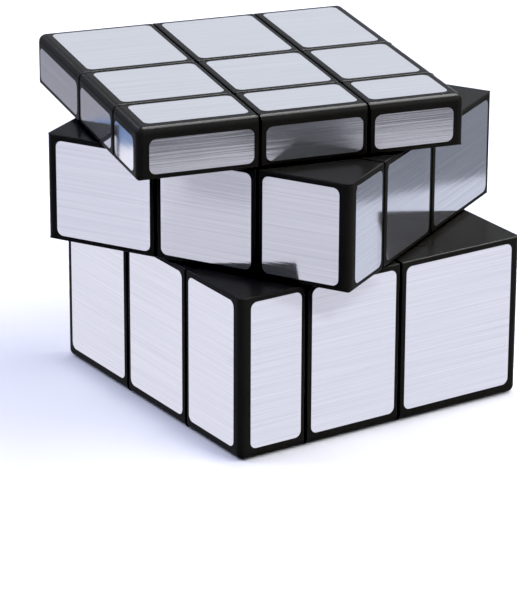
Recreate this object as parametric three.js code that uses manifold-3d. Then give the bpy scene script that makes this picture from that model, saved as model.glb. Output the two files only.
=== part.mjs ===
// Mirror block cube: a twisting puzzle three layers high, wide and deep, whose pieces differ in
// thickness instead of in colour. Lengths are in millimetres and +Z is up.
//
// At rest the middle and upper layers stand turned on the lower one, about the vertical axis
// x = y = 0. The middle slice is equally thick on all three axes. The spider at its centre
// carries a screw, washer, spring and centre piece on each of six arms. The centres hold the
// edges and the edges hold the corners, by tongues that reach under their neighbours. Layers
// meet in surfaces of revolution about the axis that they turn on, so every turn runs free.

import * as THREE from 'three';
import { mergeVertices } from 'three/addons/utils/BufferGeometryUtils.js';
import Module from 'manifold-3d';

const wasm = await Module();
wasm.setup();

// Driving dimensions of the cube
const SLICE = 19;
const OUTER_LAYER = { left: 21, right: 17, front: 13, back: 25, lower: 29, upper: 9 };
const MIDDLE_TURN = THREE.MathUtils.degToRad(29.8);
const UPPER_TURN = THREE.MathUtils.degToRad(76.8);
const GAP = 0.3;
const OUTER_ROUND = 1.3;
const CUT_CHAMFER = 0.5;

// Boundary between an outer layer and the slice under it, as radii from the turning axis and
// heights over the core's centre: a flat cut that dips near the core and ends in a tongue
const CUT_HEIGHT = SLICE / 2;
const DIP_RADIUS = 17.6;
const DIP_HEIGHT = 7.9;
const NECK_RADIUS = 15;
const TONGUE_RADIUS = 16.4;
const TONGUE_TOP = 6.4;
const TONGUE_BOTTOM = 4.6;
const FOOT_INNER_RADIUS = 9.3;

// Core spider
const CORE_RADIUS = 5.6;
const ARM_RADIUS = 3.8;
const ARM_END = 7.2;
const SCREW_HOLE_RADIUS = 1.4;
const SCREW_HOLE_START = 2.2;

// Centre piece, measured outwards from the core's centre
const HUB_START = 7.5;
const HUB_FLOOR = 8.7;
const HUB_RADIUS = 4.4;
const HUB_BORE_RADIUS = 3.1;
const HUB_HOLE_RADIUS = 1.5;
const HUB_SEAM = 19.5;
const CAP_LEAST = 1.05;
const CAP_WALL = 1.6;
const SPIGOT_START = 15.5;
const SPIGOT_RADIUS = 2.75;

// Screw, washer and spring, measured outwards from the core's centre
const SCREW_TIP = 2.6;
const SCREW_RADIUS = 1.1;
const HEAD_START = 13.7;
const HEAD_END = 15.1;
const HEAD_RADIUS = 2.6;
const HEAD_CHAMFER = 0.4;
const RECESS_LENGTH = 3;
const RECESS_WIDTH = 0.6;
const RECESS_DEPTH = 0.7;
const WASHER_START = 12.9;
const WASHER_END = 13.4;
const WASHER_RADIUS = 2.7;
const SPRING_START = 9;
const SPRING_END = 12.6;
const SPRING_RADIUS = 2.2;
const SPRING_TURNS = 3.5;
const WIRE_RADIUS = 0.35;

// Fineness of the round shapes
const CUT_SEGMENTS = 24;
const HOLE_SEGMENTS = 12;
const BALL_SEGMENTS = 16;
const ROUND_STEPS = 3;
const SPRING_STEPS_PER_TURN = 8;
const WIRE_SIDES = 5;
const MERGE_DISTANCE = 1e-5;

const CORE_HEIGHT = OUTER_LAYER.lower + CUT_HEIGHT;
const PAST_THE_CUBE = 60;

const AXES = ['x', 'y', 'z'];
const SIDE_BELOW = { x: 'left', y: 'front', z: 'lower' };
const SIDE_ABOVE = { x: 'right', y: 'back', z: 'upper' };
const DIRECTION = {
  left: new THREE.Vector3(-1, 0, 0),
  right: new THREE.Vector3(1, 0, 0),
  front: new THREE.Vector3(0, -1, 0),
  back: new THREE.Vector3(0, 1, 0),
  lower: new THREE.Vector3(0, 0, -1),
  upper: new THREE.Vector3(0, 0, 1),
};
const SIDES = Object.keys(DIRECTION);

const MATERIALS = {
  shell: new THREE.MeshStandardMaterial({ color: 0x0c0c0e, roughness: 0.28, metalness: 0 }),
  hub: new THREE.MeshStandardMaterial({ color: 0x161618, roughness: 0.4, metalness: 0 }),
  core: new THREE.MeshStandardMaterial({ color: 0xd9d8d2, roughness: 0.45, metalness: 0 }),
  screw: new THREE.MeshStandardMaterial({ color: 0xb4b4b8, roughness: 0.3, metalness: 1 }),
  washer: new THREE.MeshStandardMaterial({ color: 0xa2a2a6, roughness: 0.35, metalness: 1 }),
  spring: new THREE.MeshStandardMaterial({ color: 0xc4c6cb, roughness: 0.25, metalness: 1 }),
};

// ---------------------------------------------------------------- solids and meshes

function solid(geometry) {
  const bare = geometry.clone();
  bare.deleteAttribute('normal');
  bare.deleteAttribute('uv');
  const merged = mergeVertices(bare, MERGE_DISTANCE);
  const index = merged.index.array;
  const triangles = [];
  for (let i = 0; i < index.length; i += 3) {
    const corners = index.slice(i, i + 3);
    if (new Set(corners).size === 3) triangles.push(...corners);
  }
  return new wasm.Manifold(new wasm.Mesh({
    numProp: 3,
    vertProperties: merged.attributes.position.array,
    triVerts: new Uint32Array(triangles),
  }));
}

function geometryOf(body) {
  const { vertProperties, triVerts } = body.getMesh();
  const geometry = new THREE.BufferGeometry();
  geometry.setAttribute('position', new THREE.BufferAttribute(vertProperties, 3));
  geometry.setIndex(new THREE.BufferAttribute(triVerts, 1));
  geometry.computeVertexNormals();
  return geometry;
}

function namedMesh(name, body, material) {
  const mesh = new THREE.Mesh(geometryOf(body), material);
  mesh.name = name;
  return mesh;
}

function box(low, high) {
  const size = high.clone().sub(low);
  const middle = high.clone().add(low).multiplyScalar(0.5);
  const geometry = new THREE.BoxGeometry(size.x, size.y, size.z);
  return solid(geometry.translate(middle.x, middle.y, middle.z));
}

// A square block about Z, from one height to another
function squareBlock(half, start, end) {
  return box(new THREE.Vector3(-half, -half, start), new THREE.Vector3(half, half, end));
}

function ball(radius) {
  return solid(new THREE.SphereGeometry(radius, BALL_SEGMENTS, BALL_SEGMENTS / 2));
}

// A solid of revolution about Z, from a profile of [radius, height] points
function turned(profile, segments) {
  const points = profile.map(([radius, height]) => new THREE.Vector2(radius, height));
  return solid(new THREE.LatheGeometry(points, segments).rotateX(Math.PI / 2));
}

function cylinder(radius, start, end) {
  return turned([[0, start], [radius, start], [radius, end], [0, end]], HOLE_SEGMENTS);
}

// Turns a solid that was made pointing up so that it points towards another side
function facing(body, side) {
  const turn = new THREE.Quaternion().setFromUnitVectors(DIRECTION.upper, DIRECTION[side]);
  return solid(geometryOf(body).applyQuaternion(turn));
}

// ---------------------------------------------------------------- layers and their boundary

// Everything on the outer side of the boundary above the core. A positive clearance moves the
// boundary into the layer, and a negative one moves it into the slice below.
function upperRegion(clearance) {
  const profile = [
    [0, TONGUE_BOTTOM + clearance],
    [TONGUE_RADIUS - clearance, TONGUE_BOTTOM + clearance],
    [TONGUE_RADIUS - clearance, TONGUE_TOP - clearance],
    [NECK_RADIUS - clearance, TONGUE_TOP - clearance],
    [NECK_RADIUS - clearance, DIP_HEIGHT + clearance],
    [DIP_RADIUS, CUT_HEIGHT + clearance],
    [0, CUT_HEIGHT + clearance + 1],
  ];
  const outerSpace = squareBlock(PAST_THE_CUBE, CUT_HEIGHT + clearance, PAST_THE_CUBE);
  return turned(profile, CUT_SEGMENTS).add(outerSpace);
}

function regionsOfAllSides(clearance) {
  const upper = upperRegion(clearance);
  return Object.fromEntries(SIDES.map((side) => [side, facing(upper, side)]));
}

const WITHIN_LAYER = regionsOfAllSides(GAP / 2);
const KEPT_FOR_LAYER = regionsOfAllSides(-GAP / 2);
const FOOT_CLEARANCE = ball(FOOT_INNER_RADIUS);

function sideOf(axis, sign) {
  return sign < 0 ? SIDE_BELOW[axis] : SIDE_ABOVE[axis];
}

function faceDistance(side) {
  return CUT_HEIGHT + OUTER_LAYER[side];
}

// The part of a body that lies in the space of the piece at a place, where each axis of the
// place is -1, 0 or 1
function cutToPlace(body, place) {
  let cut = body;
  for (const axis of AXES) {
    if (place[axis] === 0) {
      cut = cut.subtract(KEPT_FOR_LAYER[SIDE_BELOW[axis]]);
      cut = cut.subtract(KEPT_FOR_LAYER[SIDE_ABOVE[axis]]);
    } else {
      cut = cut.intersect(WITHIN_LAYER[sideOf(axis, place[axis])]);
    }
  }
  return cut;
}

// ---------------------------------------------------------------- blocks with soft edges

// A rectangle with chamfered corners, or a round one where the cube's own edge runs
function outline(low, high, outerCorner) {
  const points = [];
  [[1, 1], [-1, 1], [-1, -1], [1, -1]].forEach(([u, v], quarter) => {
    const isOuter = outerCorner.x === u && outerCorner.y === v;
    const radius = isOuter ? OUTER_ROUND : CUT_CHAMFER;
    const steps = isOuter ? ROUND_STEPS : 1;
    const centreX = u > 0 ? high.x - radius : low.x + radius;
    const centreY = v > 0 ? high.y - radius : low.y + radius;
    for (let step = 0; step <= steps; step += 1) {
      const angle = (quarter + step / steps) * (Math.PI / 2);
      const x = centreX + radius * Math.cos(angle);
      const y = centreY + radius * Math.sin(angle);
      points.push(new THREE.Vector2(x, y));
    }
  });
  return new THREE.Shape(points);
}

// A block with soft edges, where three prisms meet, one along each axis
function softBlock(low, high, place) {
  const prisms = [['x', 'y', 'z'], ['y', 'z', 'x'], ['z', 'x', 'y']].map(([u, v, along]) => {
    const shape = outline(
      new THREE.Vector2(low[u], low[v]),
      new THREE.Vector2(high[u], high[v]),
      new THREE.Vector2(place[u], place[v]),
    );
    const depth = high[along] - low[along];
    const prism = new THREE.ExtrudeGeometry(shape, { depth, bevelEnabled: false });
    const [unitU, unitV, unitAlong] = [u, v, along].map((axis) => DIRECTION[SIDE_ABOVE[axis]]);
    const toAxes = new THREE.Matrix4().makeBasis(unitU, unitV, unitAlong);
    return solid(prism.translate(0, 0, low[along]).applyMatrix4(toAxes));
  });
  return prisms[0].intersect(prisms[1]).intersect(prisms[2]);
}

// ---------------------------------------------------------------- corners and edges

// Crossing tongues cut loose chips off a piece, and those are left out
function withoutChips(body) {
  return body.decompose().reduce((kept, other) => (other.volume() > kept.volume() ? other : kept));
}

// A corner or an edge: a soft block outside, and the sharp foot with its tongues inside
function shellPiece(place) {
  const low = new THREE.Vector3();
  const high = new THREE.Vector3();
  const footLow = new THREE.Vector3();
  const footHigh = new THREE.Vector3();
  for (const axis of AXES) {
    const sign = place[axis];
    const near = sign === 0 ? CUT_HEIGHT - GAP / 2 : CUT_HEIGHT + GAP / 2;
    const far = sign === 0 ? near : faceDistance(sideOf(axis, sign));
    low[axis] = sign > 0 ? near : -far;
    high[axis] = sign < 0 ? -near : far;
    footLow[axis] = sign > 0 ? 0 : -DIP_RADIUS;
    footHigh[axis] = sign < 0 ? 0 : DIP_RADIUS;
  }
  const filled = softBlock(low, high, place).add(box(footLow, footHigh));
  return withoutChips(cutToPlace(filled, place).subtract(FOOT_CLEARANCE));
}

// ---------------------------------------------------------------- centres and core

function hubSeam(side) {
  return Math.min(HUB_SEAM, faceDistance(side) - CAP_LEAST);
}

// The inner part of a centre piece: a flange over the tongues and a tube for the spring
function centreHub(side) {
  const flangeStart = TONGUE_RADIUS + GAP;
  const wideStart = DIP_RADIUS + GAP;
  const end = hubSeam(side) - GAP / 2;
  let hub = squareBlock(DIP_HEIGHT - GAP, flangeStart, end);
  if (end > wideStart) hub = hub.add(squareBlock(CUT_HEIGHT - GAP / 2, wideStart, end));
  return hub
    .add(cylinder(HUB_RADIUS, HUB_START, flangeStart + GAP))
    .subtract(cylinder(HUB_BORE_RADIUS, HUB_FLOOR, PAST_THE_CUBE))
    .subtract(cylinder(HUB_HOLE_RADIUS, 0, HUB_FLOOR + 1));
}

// The outer part of a centre piece: a cap, hollow where it is deep, that plugs into the hub
function centreCap(side) {
  const half = CUT_HEIGHT - GAP / 2;
  const start = hubSeam(side) + GAP / 2;
  const face = faceDistance(side);
  const low = new THREE.Vector3(-half, -half, start - 2 * CUT_CHAMFER);
  const high = new THREE.Vector3(half, half, face);
  const centre = { x: 0, y: 0, z: 1 };
  let cap = softBlock(low, high, centre).intersect(squareBlock(half, start, face));
  if (face - start > 2 * CAP_WALL) {
    cap = cap.subtract(squareBlock(half - CAP_WALL, start - 1, face - CAP_WALL));
  }
  return cap.add(cylinder(SPIGOT_RADIUS, SPIGOT_START, face - CAP_LEAST / 2));
}

function tensionScrew() {
  const body = turned([
    [0, SCREW_TIP],
    [SCREW_RADIUS, SCREW_TIP + SCREW_RADIUS],
    [SCREW_RADIUS, HEAD_START],
    [HEAD_RADIUS, HEAD_START],
    [HEAD_RADIUS, HEAD_END - HEAD_CHAMFER],
    [HEAD_RADIUS - HEAD_CHAMFER, HEAD_END],
    [0, HEAD_END],
  ], HOLE_SEGMENTS);
  const slot = new THREE.BoxGeometry(RECESS_LENGTH, RECESS_WIDTH, 2 * RECESS_DEPTH);
  slot.translate(0, 0, HEAD_END);
  const crossSlot = slot.clone().rotateZ(Math.PI / 2);
  return body.subtract(solid(slot)).subtract(solid(crossSlot));
}

function springWasher() {
  const disc = cylinder(WASHER_RADIUS, WASHER_START, WASHER_END);
  return disc.subtract(cylinder(SCREW_HOLE_RADIUS, WASHER_START - 1, WASHER_END + 1));
}

class SpringLine extends THREE.Curve {
  getPoint(t) {
    const angle = 2 * Math.PI * SPRING_TURNS * t;
    const x = SPRING_RADIUS * Math.cos(angle);
    const y = SPRING_RADIUS * Math.sin(angle);
    const z = THREE.MathUtils.lerp(SPRING_START + WIRE_RADIUS, SPRING_END - WIRE_RADIUS, t);
    return new THREE.Vector3(x, y, z);
  }
}

function tensionSpring() {
  const points = [];
  for (let i = 0; i < WIRE_SIDES; i += 1) {
    const angle = (2 * Math.PI * i) / WIRE_SIDES;
    const x = WIRE_RADIUS * Math.cos(angle);
    const y = WIRE_RADIUS * Math.sin(angle);
    points.push(new THREE.Vector2(x, y));
  }
  return solid(new THREE.ExtrudeGeometry(new THREE.Shape(points), {
    steps: SPRING_TURNS * SPRING_STEPS_PER_TURN,
    extrudePath: new SpringLine(),
  }));
}

function coreSpider() {
  let spider = ball(CORE_RADIUS);
  for (const side of SIDES) {
    spider = spider.add(facing(cylinder(ARM_RADIUS, 0, ARM_END), side));
  }
  for (const side of SIDES) {
    const hole = cylinder(SCREW_HOLE_RADIUS, SCREW_HOLE_START, PAST_THE_CUBE);
    spider = spider.subtract(facing(hole, side));
  }
  return spider;
}

// ---------------------------------------------------------------- the assembled cube

function layerGroup(turn) {
  const layer = new THREE.Group();
  layer.position.z = CORE_HEIGHT;
  layer.rotation.z = turn;
  return layer;
}

const layers = {
  lower: layerGroup(0),
  middle: layerGroup(MIDDLE_TURN),
  upper: layerGroup(UPPER_TURN),
};

function addShellPiece(place) {
  const turnedAxes = ['z', 'y', 'x'].filter((axis) => place[axis] !== 0);
  if (turnedAxes.length < 2) return;
  const kind = turnedAxes.length === 3 ? 'corner' : 'edge';
  const sides = turnedAxes.map((axis) => sideOf(axis, place[axis]));
  const layer = layers[sides[0]] ?? layers.middle;
  layer.add(namedMesh([...sides, kind].join('_'), shellPiece(place), MATERIALS.shell));
}

// Screw, washer and spring stay with the core; the hub and cap turn on the screw with their layer
function addCentre(side) {
  const onCore = new THREE.Group();
  onCore.quaternion.setFromUnitVectors(DIRECTION.upper, DIRECTION[side]);
  const onLayer = onCore.clone();
  onCore.add(
    namedMesh(`${side}_tension_screw`, tensionScrew(), MATERIALS.screw),
    namedMesh(`${side}_spring_washer`, springWasher(), MATERIALS.washer),
    namedMesh(`${side}_tension_spring`, tensionSpring(), MATERIALS.spring),
  );
  onLayer.add(
    namedMesh(`${side}_centre_hub`, centreHub(side), MATERIALS.hub),
    namedMesh(`${side}_centre_cap`, centreCap(side), MATERIALS.shell),
  );
  layers.middle.add(onCore);
  (layers[side] ?? layers.middle).add(onLayer);
}

layers.middle.add(namedMesh('core_spider', coreSpider(), MATERIALS.core));
for (const z of [-1, 0, 1]) {
  for (const y of [-1, 0, 1]) {
    for (const x of [-1, 0, 1]) addShellPiece({ x, y, z });
  }
}
SIDES.forEach(addCentre);

const cube = new THREE.Group();
cube.add(layers.lower, layers.middle, layers.upper);

export default cube;
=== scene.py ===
# The looks of the mirror block cube, built around its imported CAD frame.
#
# Each piece is rebuilt in place of its CAD node, with finely rounded edges where it is moulded, and
# the brushed foils on the outer faces are added. Lengths are in millimetres until place_piece() puts
# a finished mesh into the frame, in metres. A layer's own frame has its origin at the core's centre
# and is turned with the layer, as in the CAD source, whose driving dimensions are repeated below.
# The studio comes last: camera, white floor, glowing cards that only reflections see, which paint
# reflections into the foils, and lights.

import itertools
import math

import bmesh
import bpy
from mathutils import Matrix, Vector


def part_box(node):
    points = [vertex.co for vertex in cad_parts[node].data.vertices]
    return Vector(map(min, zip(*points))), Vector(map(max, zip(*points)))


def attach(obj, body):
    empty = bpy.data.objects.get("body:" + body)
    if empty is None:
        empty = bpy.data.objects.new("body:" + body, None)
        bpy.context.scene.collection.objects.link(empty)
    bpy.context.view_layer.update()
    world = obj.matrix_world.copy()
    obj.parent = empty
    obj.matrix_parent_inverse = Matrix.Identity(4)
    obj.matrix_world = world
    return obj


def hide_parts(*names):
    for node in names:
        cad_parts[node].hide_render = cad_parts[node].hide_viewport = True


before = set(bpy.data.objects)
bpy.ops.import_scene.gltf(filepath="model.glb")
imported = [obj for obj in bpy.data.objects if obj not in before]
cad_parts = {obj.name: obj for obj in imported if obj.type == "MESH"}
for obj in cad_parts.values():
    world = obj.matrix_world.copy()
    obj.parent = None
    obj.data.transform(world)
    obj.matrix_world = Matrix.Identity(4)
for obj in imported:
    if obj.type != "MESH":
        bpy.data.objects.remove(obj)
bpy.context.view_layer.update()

MM = 0.001

# ---------------------------------------------------------------- dimensions of the CAD source

SLICE = 19
OUTER_LAYER = {"left": 21, "right": 17, "front": 13, "back": 25, "lower": 29, "upper": 9}
LAYER_TURN = {"lower": 0.0, "middle": math.radians(29.8), "upper": math.radians(76.8)}
GAP = 0.3
OUTER_ROUND = 1.3

# Boundary between an outer layer and the slice under it: radii about the turning axis, and
# heights over the core's centre
CUT_HEIGHT = SLICE / 2
DIP_RADIUS = 17.6
DIP_HEIGHT = 7.9
NECK_RADIUS = 15
TONGUE_RADIUS = 16.4
TONGUE_TOP = 6.4
TONGUE_BOTTOM = 4.6
FOOT_INNER_RADIUS = 9.3
FOOT_OUTER_RADIUS = 19.9

CORE_RADIUS = 5.6
ARM_RADIUS = 3.8
ARM_END = 7.2
SCREW_HOLE_RADIUS = 1.4
SCREW_HOLE_START = 2.2

HUB_START = 7.5
HUB_FLOOR = 8.7
HUB_RADIUS = 4.4
HUB_BORE_RADIUS = 3.1
HUB_HOLE_RADIUS = 1.5
HUB_SEAM = 19.5
CAP_LEAST = 1.05
CAP_WALL = 1.6
SPIGOT_START = 15.5
SPIGOT_RADIUS = 2.75

SCREW_TIP = 2.6
SCREW_RADIUS = 1.1
HEAD_START = 13.7
HEAD_END = 15.1
HEAD_RADIUS = 2.6
RECESS_LENGTH = 3
RECESS_WIDTH = 0.6
RECESS_DEPTH = 0.7
WASHER_START = 12.9
WASHER_END = 13.4
WASHER_RADIUS = 2.7
SPRING_START = 9
SPRING_END = 12.6
SPRING_RADIUS = 2.2
SPRING_TURNS = 3.5
WIRE_RADIUS = 0.35

# ---------------------------------------------------------------- details that only the looks have

# Rounding of the edges at the cuts, which the CAD source chamfers
CUT_ROUND = 0.3

# Foils: how far they stay from the cube's own edges and from the middle of the cuts, and how deep
# they sit in the plastic. Each one's UV map is shifted, so that no two are brushed alike.
FOIL_OUTER_INSET = 2.0
FOIL_CUT_INSET = 1.05
FOIL_CORNER = 1.15
FOIL_THICKNESS = 0.06
FOIL_SUNK = 0.03
FOIL_UV = "foil_mm"
FOIL_UV_SHIFT = 53.7
FOIL_UV_SLANT = 0.37
SOFT_BRUSHED_SIDES = ("left", "right")

HUB_ROUND = 0.3
HUB_FILLET = 0.6
ARM_ROUND = 0.4
COUNTERSINK = 0.3
DRILL_POINT = 0.5

THREAD_PITCH = 0.9
THREAD_END = 8.1
THREAD_DEPTH = 0.22
THREAD_ROOT = SCREW_RADIUS - 0.08
POINT_LENGTH = 1.05
POINT_BLUNTNESS = 0.25
SHANK_RADIUS = SCREW_RADIUS - 0.1
SHANK_START = THREAD_END - 0.6
HEAD_EDGE = 0.15
HEAD_SIDE_END = HEAD_END - 0.75
HEAD_ROUND = 0.6
HEAD_ROUND_CENTRE = HEAD_END - 0.65
HEAD_TOP_RADIUS = HEAD_RADIUS - 1.4
HEAD_TOP_RISE = 0.01
WASHER_DISH = 0.06
END_TURN_FLATNESS = 0.45

# Fineness of the round shapes
ROUND_STEPS = 6
CUT_SEGMENTS = 96
PART_SEGMENTS = 40
BALL_STEPS = 24
FOIL_CORNER_STEPS = 8
WIRE_SIDES = 12
STEPS_PER_TURN = 24
EDGE_STEPS = 4
HEAD_STEPS = 5
WASHER_STEPS = 6
THREAD_ROWS_PER_TURN = 8
SMOOTH_ANGLE = math.radians(32)

# Lengths that only keep a cut or a join clean
PAST_THE_CUBE = 90
PAST_THE_CUT = 1
BELOW_THE_SEAM = 2
INTO_THE_FLANGE = 0.1
SAME_POINT = 0.001

# ---------------------------------------------------------------- surface patterns

# The middle range of a noise, which is spread over a finish's own range
MID_NOISE = (0.3, 0.7)

# Plastic, in repeats per metre. Marks are rougher than the rest, and shallow beside its peel.
PEEL_SCALE = 520
PATCH_SCALE = 70
MARK_SCALE = (900, 260, 2600)
MARK_RANGE = (0.62, 0.74)
MARK_ROUGHNESS = 0.06
MARK_SHARE_OF_PEEL = 0.12
PLASTIC_ROUGHNESS_RANGE = (0.88, 1.14)
SUBSURFACE_DEPTH = 0.8

# Steel, in repeats per metre, with the depth of its marks in millimetres
STAIN_SCALE = 450
STEEL_MARK_DEPTH = 0.004
STEEL_ROUGHNESS_RANGE = (0.75, 1.3)

# Foil, in repeats per millimetre along the brushing and across it, with depths in millimetres.
# The clear film over the silver scatters a little light, so it isn't all metal.
FINE_LINES = (0.07, 8.0, 1)
FINE_LINE_DEPTH = 0.002
BROAD_LINES = (0.022, 2.6, 1)
BROAD_LINE_DEPTH = 0.005
BROAD_LINE_SHARE = 0.6
SWEEPS = (0.03, 0.5, 1)
SWEEP_DEPTH = 0.004
WAVES = (0.07, 0.1, 1)
WAVE_DEPTH = 0.016
HAIRS = (0.1, 5.5, 1)
HAIR_RANGE = (0.6, 0.72)
HAIR_ROUGHNESS = 0.06
TONE_RANGE = (0.32, 0.68)
FOIL_DARK = (0.54, 0.543, 0.575)
FOIL_LIGHT = (0.633, 0.636, 0.663)
FOIL_ROUGHNESS_RANGE = (0.045, 0.10)
FOIL_METALLIC = 0.965
FOIL_ANISOTROPY = 0.5
QUARTER_TURN = 0.25

# ---------------------------------------------------------------- axes and sides

AXES = "xyz"
SIDE_BELOW = {"x": "left", "y": "front", "z": "lower"}
SIDE_ABOVE = {"x": "right", "y": "back", "z": "upper"}
DIRECTION = {
    "left": Vector((-1, 0, 0)),
    "right": Vector((1, 0, 0)),
    "front": Vector((0, -1, 0)),
    "back": Vector((0, 1, 0)),
    "lower": Vector((0, 0, -1)),
    "upper": Vector((0, 0, 1)),
}

core_low, core_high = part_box("core_spider")
CORE_HEIGHT = (core_low.z + core_high.z) / 2 / MM


def side_of(axis, sign):
    return SIDE_BELOW[axis] if sign < 0 else SIDE_ABOVE[axis]


def face_distance(side):
    return CUT_HEIGHT + OUTER_LAYER[side]


def facing(side):
    """Turns what points up so that it points towards another side."""
    return DIRECTION["upper"].rotation_difference(DIRECTION[side]).to_matrix().to_4x4()


# ---------------------------------------------------------------- node materials


def add_node(material, kind, inputs=None, **settings):
    """A new node. An input that is given a socket is linked to it, and any other is set."""
    tree = material.node_tree
    node = tree.nodes.new(kind)
    for name, value in settings.items():
        setattr(node, name, value)
    for name, value in (inputs or {}).items():
        if isinstance(value, bpy.types.NodeSocket):
            tree.links.new(value, node.inputs[name])
        else:
            node.inputs[name].default_value = value
    return node


def new_material(name):
    material = bpy.data.materials.new(name)
    material.use_nodes = True
    material.node_tree.nodes.clear()
    return material


def close_material(material, surface):
    output = add_node(material, "ShaderNodeOutputMaterial")
    material.node_tree.links.new(surface, output.inputs["Surface"])
    return material


def object_point(material):
    return add_node(material, "ShaderNodeTexCoord").outputs["Object"]


def stretched(material, point, scale):
    """The point with each of its coordinates scaled."""
    mapping = add_node(material, "ShaderNodeMapping", {"Vector": point, "Scale": scale})
    return mapping.outputs["Vector"]


def noise(material, point, scale, detail, roughness=0.5):
    inputs = {"Vector": point, "Scale": scale, "Detail": detail, "Roughness": roughness}
    return add_node(material, "ShaderNodeTexNoise", inputs).outputs["Fac"]


def spread(material, value, low, high, to_low, to_high):
    """The value carried from one range to another, held at the ends."""
    inputs = {
        "Value": value,
        "From Min": low,
        "From Max": high,
        "To Min": to_low,
        "To Max": to_high,
    }
    return add_node(material, "ShaderNodeMapRange", inputs).outputs["Result"]


def between(material, factor, first, second):
    """A colour between two others. The sockets for colours share their names with those for
    numbers, so they are picked by number."""
    node = add_node(material, "ShaderNodeMix", data_type="RGBA")
    material.node_tree.links.new(factor, node.inputs[0])
    node.inputs[6].default_value = (*first, 1)
    node.inputs[7].default_value = (*second, 1)
    return node.outputs[2]


def combined(material, operation, first, second):
    node = add_node(material, "ShaderNodeMath", operation=operation)
    for socket, value in zip(node.inputs, (first, second)):
        if isinstance(value, bpy.types.NodeSocket):
            material.node_tree.links.new(value, socket)
        else:
            socket.default_value = value
    return node.outputs["Value"]


def bumped(material, height, depth_mm, normal=None):
    """The normal of a surface with a height map, on top of another one if it is given."""
    inputs = {"Height": height, "Distance": depth_mm * MM, "Strength": 1.0}
    if normal is not None:
        inputs["Normal"] = normal
    return add_node(material, "ShaderNodeBump", inputs).outputs["Normal"]


def moulded_plastic(name, dark, light, rough, specular, peel_mm, subsurface=0.0):
    """Injection-moulded plastic: orange peel, patches of gloss, and fine handling marks."""
    material = new_material(name)
    point = object_point(material)
    peel = noise(material, point, PEEL_SCALE, detail=2.0)
    patches = noise(material, point, PATCH_SCALE, detail=3.0)
    marks = noise(material, stretched(material, point, MARK_SCALE), 1.0, detail=4.0)
    marks = spread(material, marks, *MARK_RANGE, 0.0, 1.0)
    smooth, dull = PLASTIC_ROUGHNESS_RANGE
    gloss = spread(material, patches, *MID_NOISE, rough * smooth, rough * dull)
    scuffs = combined(material, "MULTIPLY", marks, MARK_ROUGHNESS)
    normal = bumped(material, peel, peel_mm)
    normal = bumped(material, marks, peel_mm * MARK_SHARE_OF_PEEL, normal=normal)
    inputs = {
        "Base Color": between(material, patches, dark, light),
        "Roughness": combined(material, "ADD", gloss, scuffs),
        "Normal": normal,
        "Specular IOR Level": specular,
        "Subsurface Weight": subsurface,
        "Subsurface Scale": SUBSURFACE_DEPTH * MM,
    }
    shader = add_node(material, "ShaderNodeBsdfPrincipled", inputs)
    return close_material(material, shader.outputs["BSDF"])


def turned_steel(name, dark, light, rough, grain):
    """Bright steel with fine marks that run along its grain, a scale on each axis."""
    material = new_material(name)
    point = object_point(material)
    marks = noise(material, stretched(material, point, grain), 1.0, detail=4.0)
    stains = noise(material, point, STAIN_SCALE, detail=3.0)
    smooth, dull = STEEL_ROUGHNESS_RANGE
    inputs = {
        "Base Color": between(material, stains, dark, light),
        "Metallic": 1.0,
        "Roughness": spread(material, marks, *MID_NOISE, rough * smooth, rough * dull),
        "Normal": bumped(material, marks, STEEL_MARK_DEPTH),
    }
    shader = add_node(material, "ShaderNodeBsdfPrincipled", inputs)
    return close_material(material, shader.outputs["BSDF"])


def brushed_foil(name, depth):
    """Silver foil, brushed along U, with the depth of its lines as a share of the full one. Its UV
    map is in millimetres."""
    material = new_material(name)
    point = add_node(material, "ShaderNodeUVMap", uv_map=FOIL_UV).outputs["UV"]
    fine = noise(material, stretched(material, point, FINE_LINES), 1.0, detail=2.0, roughness=0.6)
    broad = noise(material, stretched(material, point, BROAD_LINES), 1.0, detail=1.5, roughness=0.6)
    sweeps = noise(material, stretched(material, point, SWEEPS), 1.0, detail=2.0)
    waves = noise(material, stretched(material, point, WAVES), 1.0, detail=1.0)
    hairs = noise(material, stretched(material, point, HAIRS), 1.0, detail=2.0)
    hairs = spread(material, hairs, *HAIR_RANGE, 0.0, 1.0)
    broad_part = combined(material, "MULTIPLY", broad, BROAD_LINE_SHARE)
    fine_part = combined(material, "MULTIPLY", fine, 1 - BROAD_LINE_SHARE)
    tone = combined(material, "ADD", broad_part, fine_part)
    tone = spread(material, tone, *TONE_RANGE, 0.0, 1.0)
    rough = spread(material, fine, *MID_NOISE, *FOIL_ROUGHNESS_RANGE)
    scratches = combined(material, "MULTIPLY", hairs, HAIR_ROUGHNESS)
    normal = bumped(material, waves, WAVE_DEPTH)
    normal = bumped(material, sweeps, SWEEP_DEPTH, normal=normal)
    normal = bumped(material, broad, BROAD_LINE_DEPTH * depth, normal=normal)
    normal = bumped(material, fine, FINE_LINE_DEPTH * depth, normal=normal)
    tangent = add_node(material, "ShaderNodeTangent", direction_type="UV_MAP", uv_map=FOIL_UV)
    inputs = {
        "Base Color": between(material, tone, FOIL_DARK, FOIL_LIGHT),
        "Metallic": FOIL_METALLIC,
        "Roughness": combined(material, "ADD", rough, scratches),
        "Anisotropic": FOIL_ANISOTROPY,
        "Anisotropic Rotation": QUARTER_TURN,
        "Tangent": tangent.outputs["Tangent"],
        "Normal": normal,
    }
    shader = add_node(material, "ShaderNodeBsdfPrincipled", inputs)
    return close_material(material, shader.outputs["BSDF"])


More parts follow.
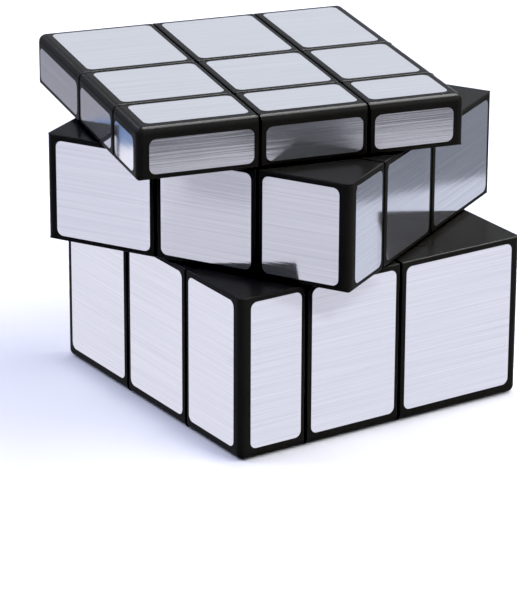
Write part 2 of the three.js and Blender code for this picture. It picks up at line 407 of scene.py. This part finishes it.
MATERIALS = {
    "shell_plastic": moulded_plastic(
        "gloss_black_plastic",
        dark=(0.0090, 0.0087, 0.0076),
        light=(0.0130, 0.0125, 0.0110),
        rough=0.22,
        specular=0.014,
        peel_mm=0.001,
    ),
    "hub_plastic": moulded_plastic(
        "satin_black_plastic",
        dark=(0.010, 0.010, 0.010),
        light=(0.018, 0.018, 0.018),
        rough=0.42,
        specular=0.4,
        peel_mm=0.006,
    ),
    "core_plastic": moulded_plastic(
        "natural_nylon",
        dark=(0.66, 0.65, 0.60),
        light=(0.74, 0.73, 0.68),
        rough=0.42,
        specular=0.5,
        peel_mm=0.007,
        subsurface=0.2,
    ),
    "screw_steel": turned_steel(
        "zinc_plated_screw_steel",
        dark=(0.50, 0.51, 0.54),
        light=(0.66, 0.66, 0.67),
        rough=0.28,
        grain=(700, 700, 9000),
    ),
    "washer_steel": turned_steel(
        "pressed_washer_steel",
        dark=(0.42, 0.42, 0.44),
        light=(0.56, 0.56, 0.58),
        rough=0.33,
        grain=(2600, 2600, 2600),
    ),
    "spring_steel": turned_steel(
        "drawn_spring_steel",
        dark=(0.55, 0.56, 0.58),
        light=(0.68, 0.69, 0.71),
        rough=0.22,
        grain=(6000, 6000, 900),
    ),
    "foil_silver": brushed_foil("brushed_silver_foil", depth=1.0),
    "foil_silver_soft": brushed_foil("soft_brushed_silver_foil", depth=0.35),
}

# ---------------------------------------------------------------- solids, in millimetres


def new_object(name, vertices, faces):
    mesh = bpy.data.meshes.new(name)
    mesh.from_pydata(vertices, [], faces)
    body = bpy.data.objects.new(name, mesh)
    bpy.context.scene.collection.objects.link(body)
    return body


def remove_object(body):
    mesh = body.data
    bpy.data.objects.remove(body)
    bpy.data.meshes.remove(mesh)


def settle(body):
    """Applies the modifiers of a body."""
    evaluated = body.evaluated_get(bpy.context.evaluated_depsgraph_get())
    settled = bpy.data.meshes.new_from_object(evaluated)
    before = body.data
    body.modifiers.clear()
    body.data = settled
    bpy.data.meshes.remove(before)
    return body


def join_by(body, operation, *tools):
    for tool in tools:
        modifier = body.modifiers.new(operation, "BOOLEAN")
        modifier.solver = "MANIFOLD"
        modifier.operation = operation
        modifier.object = tool
    return settle(body)


def turned(name, profile, segments=PART_SEGMENTS):
    """A solid of revolution about Z from (radius, height) points: a line from axis to axis, or a
    closed loop that stays off the axis."""
    vertices = []
    rings = []
    for radius, height in profile:
        first = len(vertices)
        if radius == 0:
            vertices.append((0, 0, height))
            rings.append([first] * segments)
            continue
        for i in range(segments):
            angle = math.tau * i / segments
            vertices.append((radius * math.cos(angle), radius * math.sin(angle), height))
        rings.append(list(range(first, first + segments)))
    if profile[0][0] > 0:
        rings.append(rings[0])
    faces = []
    for lower, upper in zip(rings, rings[1:]):
        for i in range(segments):
            j = (i + 1) % segments
            corners = list(dict.fromkeys((lower[i], lower[j], upper[j], upper[i])))
            if len(corners) > 2:
                faces.append(corners)
    return new_object(name, vertices, faces)


def arc(centre, radius, start_deg, end_deg, steps):
    points = []
    for i in range(steps + 1):
        angle = math.radians(start_deg + (end_deg - start_deg) * i / steps)
        points.append((centre[0] + radius * math.cos(angle), centre[1] + radius * math.sin(angle)))
    return points


def ball(name, radius):
    profile = arc((0, 0), radius, -90, 90, BALL_STEPS)
    profile[0] = (0, -radius)
    profile[-1] = (0, radius)
    return turned(name, profile, 2 * BALL_STEPS)


def soft_block(name, low, high, rounding):
    """A block whose edges are rounded. rounding gives an edge's radius from the signs of the two
    faces that meet there, with 0 for the axis that the edge runs along."""
    body = new_object(name, [], [])
    low, high = Vector(low), Vector(high)
    centre, size = (low + high) / 2, high - low
    block = bmesh.new()
    bmesh.ops.create_cube(block, size=1)
    weights = block.edges.layers.float.new("bevel_weight_edge")
    for edge in block.edges:
        middle = edge.verts[0].co + edge.verts[1].co
        edge[weights] = rounding(tuple(round(c) for c in middle)) / OUTER_ROUND
    for vertex in block.verts:
        vertex.co = centre + vertex.co * size
    block.to_mesh(body.data)
    block.free()
    bevel = body.modifiers.new("round", "BEVEL")
    bevel.limit_method = "WEIGHT"
    bevel.offset_type = "OFFSET"
    bevel.width = OUTER_ROUND
    bevel.segments = ROUND_STEPS
    bevel.use_clamp_overlap = False
    return settle(body)


def plain_block(name, low, high):
    return soft_block(name, low, high, lambda signs: 0)


def place_piece(body, node, slot, to_layer, layer, finish=None):
    """Puts a finished body into the frame, in place of its CAD node if it has one. The finish is
    the slot's own, or a variant of it."""
    to_frame = (
        Matrix.Scale(MM, 4)
        @ Matrix.Translation((0, 0, CORE_HEIGHT))
        @ Matrix.Rotation(LAYER_TURN[layer], 4, "Z")
        @ to_layer
    )
    mesh = body.data
    mesh.transform(to_frame)
    mesh.shade_smooth()
    mesh.set_sharp_from_angle(angle=SMOOTH_ANGLE)
    weighted = body.modifiers.new("normals", "WEIGHTED_NORMAL")
    weighted.keep_sharp = True
    settle(body)
    body.data.materials.clear()
    body.data.materials.append(MATERIALS[finish or slot])
    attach(body, f"{layer}_layer")
    if node is not None:
        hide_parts(node)


# ---------------------------------------------------------------- corners and edges


def layer_space(name, side, clearance):
    """Everything on the outer side of the boundary towards a side. A positive clearance moves the
    boundary into the layer, and a negative one moves it into the slice below."""
    space = turned(name, [
        (0, TONGUE_BOTTOM + clearance),
        (TONGUE_RADIUS - clearance, TONGUE_BOTTOM + clearance),
        (TONGUE_RADIUS - clearance, TONGUE_TOP - clearance),
        (NECK_RADIUS - clearance, TONGUE_TOP - clearance),
        (NECK_RADIUS - clearance, DIP_HEIGHT + clearance),
        (DIP_RADIUS, CUT_HEIGHT + clearance),
        (PAST_THE_CUBE, CUT_HEIGHT + clearance),
        (PAST_THE_CUBE, PAST_THE_CUBE),
        (0, PAST_THE_CUBE),
    ], CUT_SEGMENTS)
    space.data.transform(facing(side))
    return space


def keep_outermost(body):
    """Leaves out the loose chips that crossing tongues cut off a piece, and joins points that the
    cuts left on top of each other."""
    mesh = bmesh.new()
    mesh.from_mesh(body.data)
    outermost = max(mesh.verts, key=lambda vertex: vertex.co.length_squared)
    kept = {outermost}
    waiting = [outermost]
    while waiting:
        for edge in waiting.pop().link_edges:
            for vertex in edge.verts:
                if vertex not in kept:
                    kept.add(vertex)
                    waiting.append(vertex)
    loose = [vertex for vertex in mesh.verts if vertex not in kept]
    bmesh.ops.delete(mesh, geom=loose, context="VERTS")
    bmesh.ops.remove_doubles(mesh, verts=mesh.verts, dist=SAME_POINT)
    mesh.to_mesh(body.data)
    mesh.free()


def block_span(sign, axis):
    """Lowest and highest coordinate of a piece's block along an axis."""
    if sign == 0:
        return -(CUT_HEIGHT - GAP / 2), CUT_HEIGHT - GAP / 2
    near, far = CUT_HEIGHT + GAP / 2, face_distance(side_of(axis, sign))
    return (near, far) if sign > 0 else (-far, -near)


def shell_piece(name, place, within, kept_for):
    """A corner or an edge: a block, and a foot that reaches under its neighbours. place holds a
    sign on each axis, with 0 for the middle slice."""
    spans = [block_span(sign, axis) for sign, axis in zip(place, AXES)]

    def rounding(signs):
        outer = all(sign in (0, own) for sign, own in zip(signs, place))
        outer = outer and all(own != 0 for sign, own in zip(signs, place) if sign != 0)
        return OUTER_ROUND if outer else CUT_ROUND

    body = soft_block(name, *zip(*spans), rounding)
    foot = ball("foot", FOOT_OUTER_RADIUS)
    hollow = ball("hollow", FOOT_INNER_RADIUS)
    inside = [within[side_of(axis, sign)] for sign, axis in zip(place, AXES) if sign != 0]
    flat = [axis for sign, axis in zip(place, AXES) if sign == 0]
    outside = [kept_for[side[axis]] for axis in flat for side in (SIDE_BELOW, SIDE_ABOVE)]
    join_by(foot, "INTERSECT", *inside)
    join_by(body, "UNION", foot)
    join_by(body, "DIFFERENCE", *outside, hollow)
    keep_outermost(body)
    remove_object(foot)
    remove_object(hollow)
    return body


# ---------------------------------------------------------------- foil


def rounded_outline(half_u, half_v, radius):
    points = []
    for quarter, (u, v) in enumerate([(1, 1), (-1, 1), (-1, -1), (1, -1)]):
        centre = (u * (half_u - radius), v * (half_v - radius))
        start = 90 * quarter
        points += arc(centre, radius, start, start + 90, FOIL_CORNER_STEPS)
    return points


def foil(name, side, u_span, v_span, u_axis, v_axis, layer, shift):
    """One thin sticker with round corners on an outer face, brushed along its U axis."""
    normal = DIRECTION[side]
    centre = (
        normal * face_distance(side)
        + u_axis * (sum(u_span) / 2)
        + v_axis * (sum(v_span) / 2)
    )
    half_u = (u_span[1] - u_span[0]) / 2
    half_v = (v_span[1] - v_span[0]) / 2
    outline = rounded_outline(half_u, half_v, FOIL_CORNER)
    count = len(outline)
    places = [(u, v, height) for height in (-FOIL_SUNK, FOIL_THICKNESS) for u, v in outline]
    faces = [tuple(reversed(range(count))), tuple(range(count, 2 * count))]
    for i in range(count):
        j = (i + 1) % count
        faces.append((i, j, count + j, count + i))
    vertices = [centre + u_axis * u + v_axis * v + normal * height for u, v, height in places]
    if u_axis.cross(v_axis).dot(normal) < 0:
        faces = [tuple(reversed(face)) for face in faces]
    body = new_object(name, vertices, faces)
    uv = body.data.uv_layers.new(name=FOIL_UV)
    for loop in body.data.loops:
        u, v, _ = places[loop.vertex_index]
        uv.data[loop.index].uv = (u + shift, v + FOIL_UV_SLANT * shift)
    finish = "foil_silver_soft" if side in SOFT_BRUSHED_SIDES else "foil_silver"
    place_piece(body, None, "foil_silver", Matrix.Identity(4), layer, finish)


def foil_span(sign, axis):
    """Lowest and highest coordinate of a piece's foils along an axis."""
    if sign == 0:
        return -(CUT_HEIGHT - FOIL_CUT_INSET), CUT_HEIGHT - FOIL_CUT_INSET
    near = CUT_HEIGHT + FOIL_CUT_INSET
    far = face_distance(side_of(axis, sign)) - FOIL_OUTER_INSET
    return (near, far) if sign > 0 else (-far, -near)


# ---------------------------------------------------------------- centres, screws and core


def hub_seam(side):
    """Where the hub ends and the cap starts, which is lower in the thinnest layer."""
    return min(HUB_SEAM, face_distance(side) - CAP_LEAST)


def centre_hub(name, side):
    """The inner part of a centre piece, along +Z: a tube with a bore, a flange and, where there
    is room for it, a wide plate."""
    flange_start = TONGUE_RADIUS + GAP
    wide_start = DIP_RADIUS + GAP
    end = hub_seam(side) - GAP / 2
    half = DIP_HEIGHT - GAP
    body = soft_block(name, (-half, -half, flange_start), (half, half, end), lambda signs: HUB_ROUND)
    tools = []
    if end > wide_start + 2 * HUB_ROUND:
        wide = CUT_HEIGHT - GAP / 2
        low, high = (-wide, -wide, wide_start), (wide, wide, end)
        tools.append(soft_block("plate", low, high, lambda signs: HUB_ROUND))
    tube = [(0, HUB_START), (HUB_RADIUS - HUB_ROUND, HUB_START)]
    tube += arc((HUB_RADIUS - HUB_ROUND, HUB_START + HUB_ROUND), HUB_ROUND, -90, 0, EDGE_STEPS)
    fillet_centre = (HUB_RADIUS + HUB_FILLET, flange_start - HUB_FILLET)
    tube += arc(fillet_centre, HUB_FILLET, 180, 90, EDGE_STEPS)
    tube_end = flange_start + INTO_THE_FLANGE
    tube += [(HUB_RADIUS + HUB_FILLET, tube_end), (0, tube_end)]
    tools.append(turned("tube", tube))
    bore = turned("bore", [
        (0, HUB_START - PAST_THE_CUT),
        (HUB_HOLE_RADIUS, HUB_START - PAST_THE_CUT),
        (HUB_HOLE_RADIUS, HUB_FLOOR),
        (HUB_BORE_RADIUS, HUB_FLOOR),
        (HUB_BORE_RADIUS, end - HUB_ROUND),
        (HUB_BORE_RADIUS + 2 * HUB_ROUND, end + HUB_ROUND),
        (0, end + HUB_ROUND),
    ])
    join_by(body, "UNION", *tools)
    join_by(body, "DIFFERENCE", bore)
    for tool in [*tools, bore]:
        remove_object(tool)
    return body


def centre_cap(name, side):
    """The outer part of a centre piece, along +Z, with a spigot for the hub's bore. It has round
    edges but for those at the seam, and a thick one is hollow."""
    half = CUT_HEIGHT - GAP / 2
    start = hub_seam(side) + GAP / 2
    face = face_distance(side)
    low, high = (-half, -half, start - BELOW_THE_SEAM), (half, half, face)
    body = soft_block(name, low, high, lambda signs: CUT_ROUND)
    wide = half + PAST_THE_CUT
    below = start - BELOW_THE_SEAM - PAST_THE_CUT
    trim = [plain_block("trim", (-wide, -wide, below), (wide, wide, start))]
    if face - start > 2 * CAP_WALL:
        inner = half - CAP_WALL
        low, high = (-inner, -inner, below), (inner, inner, face - CAP_WALL)
        trim.append(soft_block("hollow", low, high, lambda signs: HUB_ROUND))
    spigot = turned("spigot", [
        (0, SPIGOT_START),
        (SPIGOT_RADIUS - HUB_ROUND, SPIGOT_START),
        (SPIGOT_RADIUS, SPIGOT_START + HUB_ROUND),
        (SPIGOT_RADIUS, face - CAP_LEAST / 2),
        (0, face - CAP_LEAST / 2),
    ])
    join_by(body, "DIFFERENCE", *trim)
    join_by(body, "UNION", spigot)
    for tool in [*trim, spigot]:
        remove_object(tool)
    return body


def tension_screw(name):
    """A screw with a real thread, a domed head and a cross recess."""
    threaded = THREAD_END - SCREW_TIP
    rows = round(threaded / THREAD_PITCH * THREAD_ROWS_PER_TURN)
    segments = STEPS_PER_TURN
    vertices = []
    for row in range(rows + 1):
        height = SCREW_TIP + threaded * row / rows
        fade = min(1, (THREAD_END - height) / THREAD_PITCH)
        pointed = (height - SCREW_TIP) / POINT_LENGTH
        point = min(1, POINT_BLUNTNESS + (1 - POINT_BLUNTNESS) * pointed)
        for i in range(segments):
            turn = (height - SCREW_TIP) / THREAD_PITCH - i / segments
            tooth = 1 - abs(2 * (turn % 1) - 1)
            radius = (THREAD_ROOT + THREAD_DEPTH * tooth * fade) * point
            angle = math.tau * i / segments
            vertices.append((radius * math.cos(angle), radius * math.sin(angle), height))
    faces = [tuple(reversed(range(segments)))]
    for row in range(rows):
        for i in range(segments):
            j = (i + 1) % segments
            first = row * segments
            faces.append((first + i, first + j, first + segments + j, first + segments + i))
    faces.append(tuple(range(rows * segments, (rows + 1) * segments)))
    body = new_object(name, vertices, faces)
    upper = [
        (0, SHANK_START),
        (SHANK_RADIUS, SHANK_START),
        (SHANK_RADIUS, HEAD_START - HEAD_EDGE),
        (SHANK_RADIUS + HEAD_EDGE, HEAD_START),
        (HEAD_RADIUS - HEAD_EDGE, HEAD_START),
        (HEAD_RADIUS, HEAD_START + HEAD_EDGE),
        (HEAD_RADIUS, HEAD_SIDE_END),
    ]
    upper += arc((HEAD_RADIUS - HEAD_ROUND, HEAD_ROUND_CENTRE), HEAD_ROUND, 10, 80, HEAD_STEPS)
    upper += [(HEAD_TOP_RADIUS, HEAD_END - HEAD_TOP_RISE), (0, HEAD_END)]
    shank = turned("shank", upper)
    length, width = RECESS_LENGTH / 2, RECESS_WIDTH / 2
    floor, top = HEAD_END - RECESS_DEPTH, HEAD_END + PAST_THE_CUT
    slots = [
        plain_block("slot", (-length, -width, floor), (length, width, top)),
        plain_block("slot", (-width, -length, floor), (width, length, top)),
    ]
    join_by(body, "UNION", shank)
    join_by(body, "DIFFERENCE", *slots)
    for tool in [shank, *slots]:
        remove_object(tool)
    return body


def spring_washer(name):
    """A pressed washer, a little dished, with rounded rims."""
    rim = (WASHER_END - WASHER_START) / 2
    profile = [(SCREW_HOLE_RADIUS + rim, WASHER_START)]
    profile += arc((WASHER_RADIUS - rim, WASHER_START + rim), rim, -90, 90, WASHER_STEPS)
    profile += [((SCREW_HOLE_RADIUS + WASHER_RADIUS) / 2, WASHER_END - WASHER_DISH)]
    profile += arc((SCREW_HOLE_RADIUS + rim, WASHER_START + rim), rim, 90, 225, WASHER_STEPS)
    return turned(name, profile)


def tension_spring(name):
    """A wound spring whose end turns lie flatter than the rest."""
    steps = round(SPRING_TURNS * STEPS_PER_TURN)
    low, high = SPRING_START + WIRE_RADIUS, SPRING_END - WIRE_RADIUS
    vertices = []
    for step in range(steps + 1):
        share = step / steps
        angle = math.tau * SPRING_TURNS * share
        eased = share - END_TURN_FLATNESS * math.sin(math.tau * share) / math.tau
        height = low + (high - low) * eased
        outward = Vector((math.cos(angle), math.sin(angle), 0))
        for side in range(WIRE_SIDES):
            around = math.tau * side / WIRE_SIDES
            place = outward * (SPRING_RADIUS + WIRE_RADIUS * math.cos(around))
            vertices.append((place.x, place.y, height + WIRE_RADIUS * math.sin(around)))
    faces = [tuple(range(WIRE_SIDES))]
    for step in range(steps):
        for side in range(WIRE_SIDES):
            other = (side + 1) % WIRE_SIDES
            first = step * WIRE_SIDES
            faces.append(
                (first + other, first + side, first + WIRE_SIDES + side, first + WIRE_SIDES + other)
            )
    last = steps * WIRE_SIDES
    faces.append(tuple(reversed(range(last, last + WIRE_SIDES))))
    return new_object(name, vertices, faces)


def core_spider(name):
    """The core: a ball with six arms, each with a countersunk screw hole."""
    body = ball(name, CORE_RADIUS)
    arms = []
    holes = []
    for side in DIRECTION:
        profile = [(0, 0), (ARM_RADIUS, 0)]
        round_centre = (ARM_RADIUS - ARM_ROUND, ARM_END - ARM_ROUND)
        profile += arc(round_centre, ARM_ROUND, 0, 90, EDGE_STEPS)
        profile += [(0, ARM_END)]
        arms.append(turned("arm", profile))
        holes.append(turned("hole", [
            (0, SCREW_HOLE_START - DRILL_POINT),
            (SCREW_HOLE_RADIUS, SCREW_HOLE_START),
            (SCREW_HOLE_RADIUS, ARM_END - COUNTERSINK),
            (SCREW_HOLE_RADIUS + 2 * COUNTERSINK, ARM_END + COUNTERSINK),
            (0, ARM_END + COUNTERSINK),
        ]))
        for part in (arms[-1], holes[-1]):
            part.data.transform(facing(side))
    join_by(body, "UNION", *arms)
    join_by(body, "DIFFERENCE", *holes)
    for tool in [*arms, *holes]:
        remove_object(tool)
    return body


# ---------------------------------------------------------------- the assembled cube

# The room of each outer layer, and the same with its gap, which the slice under it keeps clear
within = {side: layer_space(f"{side}_space", side, GAP / 2) for side in DIRECTION}
kept_for = {side: layer_space(f"{side}_kept", side, -GAP / 2) for side in DIRECTION}
foil_numbers = itertools.count()


def add_foils(node, place, layer):
    """A foil on each outer face of a piece, brushed along the layer on the sides."""
    units = [DIRECTION[SIDE_ABOVE[axis]] for axis in AXES]
    for index, sign in enumerate(place):
        if sign == 0:
            continue
        u, v = [other for other in range(3) if other != index]
        side = side_of(AXES[index], sign)
        foil(
            f"{node}_{side}_foil",
            side,
            foil_span(place[u], AXES[u]),
            foil_span(place[v], AXES[v]),
            units[u],
            units[v],
            layer,
            shift=FOIL_UV_SHIFT * next(foil_numbers),
        )


def add_shell_piece(place):
    """A corner or an edge, named after its sides, with its foils."""
    outer_axes = [index for index in (2, 1, 0) if place[index] != 0]
    sides = [side_of(AXES[index], place[index]) for index in outer_axes]
    kind = "corner" if len(sides) == 3 else "edge"
    node = "_".join([*sides, kind])
    layer = sides[0] if sides[0] in LAYER_TURN else "middle"
    body = shell_piece(f"{node}_shell", place, within, kept_for)
    place_piece(body, node, "shell_plastic", Matrix.Identity(4), layer)
    add_foils(node, place, layer)


def add_centre(side):
    """The pieces of one centre. The metal ones stay with the core, and so with the middle layer."""
    layer = side if side in LAYER_TURN else "middle"
    hub, cap = f"{side}_centre_hub", f"{side}_centre_cap"
    place_piece(centre_hub(f"{hub}_moulding", side), hub, "hub_plastic", facing(side), layer)
    place_piece(centre_cap(f"{cap}_shell", side), cap, "shell_plastic", facing(side), layer)
    add_foils(cap, tuple(round(c) for c in DIRECTION[side]), layer)
    metal = [
        ("tension_screw", tension_screw, "screw_steel"),
        ("spring_washer", spring_washer, "washer_steel"),
        ("tension_spring", tension_spring, "spring_steel"),
    ]
    for kind, make, slot in metal:
        node = f"{side}_{kind}"
        place_piece(make(f"{node}_metal"), node, slot, facing(side), "middle")


for z in (-1, 0, 1):
    for y in (-1, 0, 1):
        for x in (-1, 0, 1):
            if abs(x) + abs(y) + abs(z) > 1:
                add_shell_piece((x, y, z))
for side in DIRECTION:
    add_centre(side)
core = core_spider("core_spider_moulding")
place_piece(core, "core_spider", "core_plastic", Matrix.Identity(4), "middle")
for tool in [*within.values(), *kept_for.values()]:
    remove_object(tool)

# ---------------------------------------------------------------- studio, in metres

# The camera stands where the photograph was taken from: its place about the turning axis, and how
# it points. The lens is for a frame whose longer side is the sensor's 36 mm.
CAMERA_AZIMUTH = math.radians(56.774)
CAMERA_DISTANCE = 550.1 * MM
CAMERA_HEIGHT = 227.8 * MM
CAMERA_PITCH = math.radians(21.195)
CAMERA_YAW = math.radians(0.153)
CAMERA_ROLL = math.radians(0.233)
CAMERA_LENS = 200.17

BLACK_POINT = 0.0095

# The floor lies just under the lowest foils. Its clearance and its tooth are in millimetres.
FLOOR_CLEARANCE = 0.02
FLOOR_HEIGHT = -(FOIL_THICKNESS + FLOOR_CLEARANCE) * MM
FLOOR_HALF = 4.0
FLOOR_COLOUR = (0.44, 0.44, 0.44)
PAPER_SCALE = 900
PAPER_TOOTH = 0.004

around_axis = Matrix.Rotation(CAMERA_AZIMUTH, 4, "Z")

camera_data = bpy.data.cameras.new("camera")
camera_data.lens = CAMERA_LENS
camera = bpy.data.objects.new("camera", camera_data)
bpy.context.scene.collection.objects.link(camera)
camera.matrix_world = (
    around_axis
    @ Matrix.Translation((0, -CAMERA_DISTANCE, CAMERA_HEIGHT))
    @ Matrix.Rotation(CAMERA_YAW, 4, "Z")
    @ Matrix.Rotation(math.pi / 2 - CAMERA_PITCH, 4, "X")
    @ Matrix.Rotation(CAMERA_ROLL, 4, "Z")
)
bpy.context.scene.camera = camera

# Tones as in an edited studio photograph: no film curve, and a black point a little above zero
tones = bpy.context.scene.view_settings
tones.view_transform = "Standard"
tones.use_curve_mapping = True
tones.curve_mapping.black_level = (BLACK_POINT, BLACK_POINT, BLACK_POINT)
tones.curve_mapping.update()


def stage_plane(name, corners, height, material):
    """A flat sheet that isn't part of the object, with corners seen from the camera: X to its
    right and Y away from it."""
    vertices = [around_axis @ Vector((x, y, height)) for x, y in corners]
    plane = new_object(name, vertices, [tuple(range(len(vertices)))])
    plane.data.materials.append(material)
    return plane


def floor_material():
    """Matt white paper with a faint tooth."""
    material = new_material("white_floor_paper")
    tooth = noise(material, object_point(material), PAPER_SCALE, detail=3.0)
    inputs = {
        "Base Color": (*FLOOR_COLOUR, 1),
        "Roughness": 0.9,
        "Specular IOR Level": 0.1,
        "Normal": bumped(material, tooth, PAPER_TOOTH),
    }
    shader = add_node(material, "ShaderNodeBsdfPrincipled", inputs)
    return close_material(material, shader.outputs["BSDF"])


square = [(-FLOOR_HALF, -FLOOR_HALF), (FLOOR_HALF, -FLOOR_HALF)]
square += [(FLOOR_HALF, FLOOR_HALF), (-FLOOR_HALF, FLOOR_HALF)]
stage_plane("floor", square, FLOOR_HEIGHT, floor_material())

# Cards over the white floor, which only reflections see: glowing sheets that paint reflections
# into the foils, bright, grey, blue and dark, with painted shade in the two shade cards. The
# colour and the corners of each are given. A card lies above those that come before it.
CARD_HEIGHT = 0.3 * MM
CARD_STEP = 0.05 * MM
CARDS = {
    "right_grey_card": (
        (0.28, 0.298, 0.355),
        [(0.114, -0.02), (0.9, -0.02), (0.9, 0.9), (0.111, 0.9), (0.111, 0.08)],
    ),
    "right_pale_card": (
        (0.84, 0.88, 1.02),
        [(0.06, 0.0), (0.114, 0.0), (0.111, 0.08), (0.111, 0.4), (0.05, 0.4)],
    ),
    "front_near_card": (
        (0.74, 0.735, 0.80),
        [(0.05, -0.125), (0.05, -0.17), (0.13, -0.17), (0.3, -0.13), (0.3, -0.07),
         (0.142, -0.102), (0.082, -0.122)],
    ),
    "front_far_card": (
        (0.20, 0.198, 0.222),
        [(0.05, -0.9), (0.9, -0.9), (0.9, -0.07), (0.3, -0.11), (0.142, -0.127),
         (0.127, -0.136), (0.124, -0.136), (0.08, -0.150), (0.05, -0.155)],
    ),
    "front_dark_card": (
        (0.10, 0.10, 0.11),
        [(0.094, -0.118), (0.108, -0.112), (0.120, -0.15), (0.124, -0.2), (0.10, -0.2)],
    ),
    "left_grey_card": (
        (0.42, 0.42, 0.48),
        [(-0.9, 0.09), (-0.117, 0.095), (-0.112, 0.9), (-0.9, 0.9)],
    ),
    "left_blue_card": (
        (0.20, 0.32, 0.60),
        [(-0.131, 0.106), (-0.122, 0.116), (-0.111, 0.100), (-0.117, 0.090)],
    ),
    "left_pale_card": (
        (1.18, 1.18, 1.30),
        [(-0.9, 0.06), (-0.9, 0.09), (-0.117, 0.095), (-0.112, 0.4), (-0.02, 0.4),
         (-0.038, 0.0165), (-0.005, -0.034), (-0.9, 0.0)],
    ),
    "far_left_card": (
        (1.07, 1.08, 1.22),
        [(-0.042, -0.015), (-0.9, 0.0), (-0.9, -0.63), (-0.045, -0.031)],
    ),
    "near_left_card": (
        (0.94, 0.94, 1.05),
        [(-0.045, -0.033), (-0.9, -0.63), (-0.9, -0.9), (-0.02, -0.9), (-0.02, -0.06)],
    ),
    # Painted shade: a darker patch that the middle layer's front foils reflect near their tops, for
    # the shadow of the upper layer's overhang
    "left_shade_card": (
        (0.70, 0.70, 0.80),
        [(-0.108, -0.084), (-0.140, -0.104), (-0.120, -0.114), (-0.096, -0.091)],
    ),
    # Painted reflection: a bright patch that the lower layer's right foils reflect in place of the
    # shaded floor beside them
    "right_near_card": (
        (1.17, 1.175, 1.30),
        [(0.0437, -0.0035), (-0.0041, -0.0347), (0.074, -0.075), (0.125, -0.030)],
    ),
    # Painted shade: a darker patch that the lower layer's near right foil reflects at its top, below
    # the middle layer's corner
    "right_shade_card": (
        (0.95, 0.95, 1.06),
        [(0.060, -0.046), (0.066, -0.062), (0.084, -0.064), (0.082, -0.044)],
    ),
}
for number, (name, (colour, corners)) in enumerate(CARDS.items()):
    material = new_material(name)
    glow = add_node(material, "ShaderNodeEmission", {"Color": (*colour, 1), "Strength": 1.0})
    close_material(material, glow.outputs["Emission"])
    card = stage_plane(name, corners, CARD_HEIGHT + CARD_STEP * number, material)
    card.visible_camera = False
    card.visible_diffuse = False
    card.visible_shadow = False
    card.visible_transmission = False

# The room's light, which is bluer overhead. It turns from one colour to the other between two
# elevations, given by their sines.
WORLD_HORIZON = (0.895, 0.935, 1.005)
WORLD_ZENITH = (1.10, 1.16, 1.68)
HORIZON_END = 0.42
ZENITH_START = 0.75
world = bpy.data.worlds.new("studio")
world.use_nodes = True
bpy.context.scene.world = world
tree = world.node_tree
direction = tree.nodes.new("ShaderNodeTexCoord")
parts = tree.nodes.new("ShaderNodeSeparateXYZ")
ramp = tree.nodes.new("ShaderNodeValToRGB")
tree.links.new(direction.outputs["Generated"], parts.inputs["Vector"])
tree.links.new(parts.outputs["Z"], ramp.inputs["Fac"])
tree.links.new(ramp.outputs["Color"], tree.nodes["Background"].inputs["Color"])
ramp.color_ramp.elements[0].position = HORIZON_END
ramp.color_ramp.elements[0].color = (*WORLD_HORIZON, 1)
ramp.color_ramp.elements[1].position = ZENITH_START
ramp.color_ramp.elements[1].color = (*WORLD_ZENITH, 1)


def add_area_light(name, place, towards, energy):
    """An area light. Its place, and the direction that its light comes from, are seen from the
    camera: X to its right and Y away from it."""
    data = bpy.data.lights.new(name, "AREA")
    data.energy = energy
    light = bpy.data.objects.new(name, data)
    bpy.context.scene.collection.objects.link(light)
    light.location = around_axis @ Vector(place)
    light.rotation_euler = (around_axis @ Vector(towards)).to_track_quat("Z", "Y").to_euler()
    return light


def add_softbox(name, azimuth_deg, elevation_deg, distance, size, energy, colour, gloss_only):
    """A square light that points at the cube. The azimuth is seen from the camera: 0 is behind
    the cube, and 90 is to its right. One for gloss only adds highlights and casts no light."""
    azimuth, elevation = math.radians(azimuth_deg), math.radians(elevation_deg)
    towards = Vector((
        math.sin(azimuth) * math.cos(elevation),
        math.cos(azimuth) * math.cos(elevation),
        math.sin(elevation),
    ))
    light = add_area_light(name, towards * distance, towards, energy)
    light.data.size = size
    light.data.color = colour
    light.visible_diffuse = not gloss_only


WARM_WHITE = (1.0, 0.98, 0.94)
COOL_WHITE = (0.90, 0.94, 1.25)
WHITE = (1.0, 1.0, 1.0)

# Each softbox's azimuth, elevation, distance, size, power, colour, and whether it is gloss only
SOFTBOXES = {
    "key_softbox": (72, 54, 1.6, 1.15, 32, WARM_WHITE, False),
    "front_softbox": (120, 35, 1.8, 0.8, 21, WARM_WHITE, False),
    "fill_softbox": (280, 40, 1.8, 0.8, 25, COOL_WHITE, False),
    "top_softbox": (40, 66, 1.6, 1.0, 280, WHITE, True),
    "back_softbox": (-38, 34, 1.6, 0.4, 7, WHITE, True),
}
for name, settings in SOFTBOXES.items():
    add_softbox(name, *settings)

# What the silver sides throw back onto the floor beside them
BOUNCE_WIDTH = 0.06
BOUNCE_HEIGHT = 0.025
BOUNCE_ENERGY = 0.0045
BOUNCE_PLACE = (-0.023, -0.018, 0.015)
BOUNCE_COMES_FROM = (0.84, 0.55, 0.35)
bounce = add_area_light("bounce_light", BOUNCE_PLACE, BOUNCE_COMES_FROM, BOUNCE_ENERGY)
bounce.data.shape = "RECTANGLE"
bounce.data.size = BOUNCE_WIDTH
bounce.data.size_y = BOUNCE_HEIGHT
bounce.visible_glossy = False
bounce.visible_camera = False
